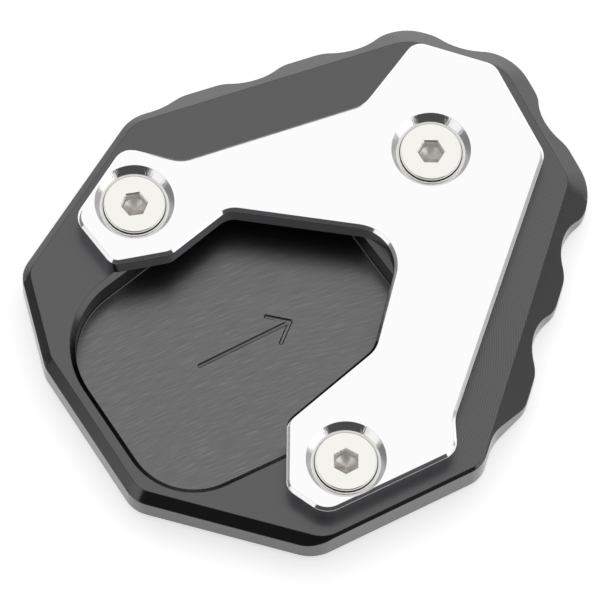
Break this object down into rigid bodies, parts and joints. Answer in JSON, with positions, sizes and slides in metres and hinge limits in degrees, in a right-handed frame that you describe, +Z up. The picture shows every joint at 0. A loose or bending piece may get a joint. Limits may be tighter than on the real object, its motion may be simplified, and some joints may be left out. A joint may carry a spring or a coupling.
{
  "type": "kickstand foot enlarger",
  "caption": "Machined base plate with scalloped, bevelled sides and a pocket for a kickstand's foot, under an open clamp plate held down by countersunk socket screws.",
  "frame": {"origin": "centre of the underside, on the ground", "axes": "+Z up from the ground through the plates, +Y towards the back, where the scalloped sides are, +X to the right as seen from above"},
  "size_m": [0.1051, 0.1043, 0.0135],
  "materials": {
    "anodised_black": "satin black anodised, milled",
    "bare_aluminium": "bright satin, clear anodised",
    "stainless_steel": "bright"
  },
  "bodies": {
    "root": {"base_plate": "anodised_black", "clamp_plate": "bare_aluminium", "clamp_screws": "stainless_steel"}
  },
  "joints": []
}
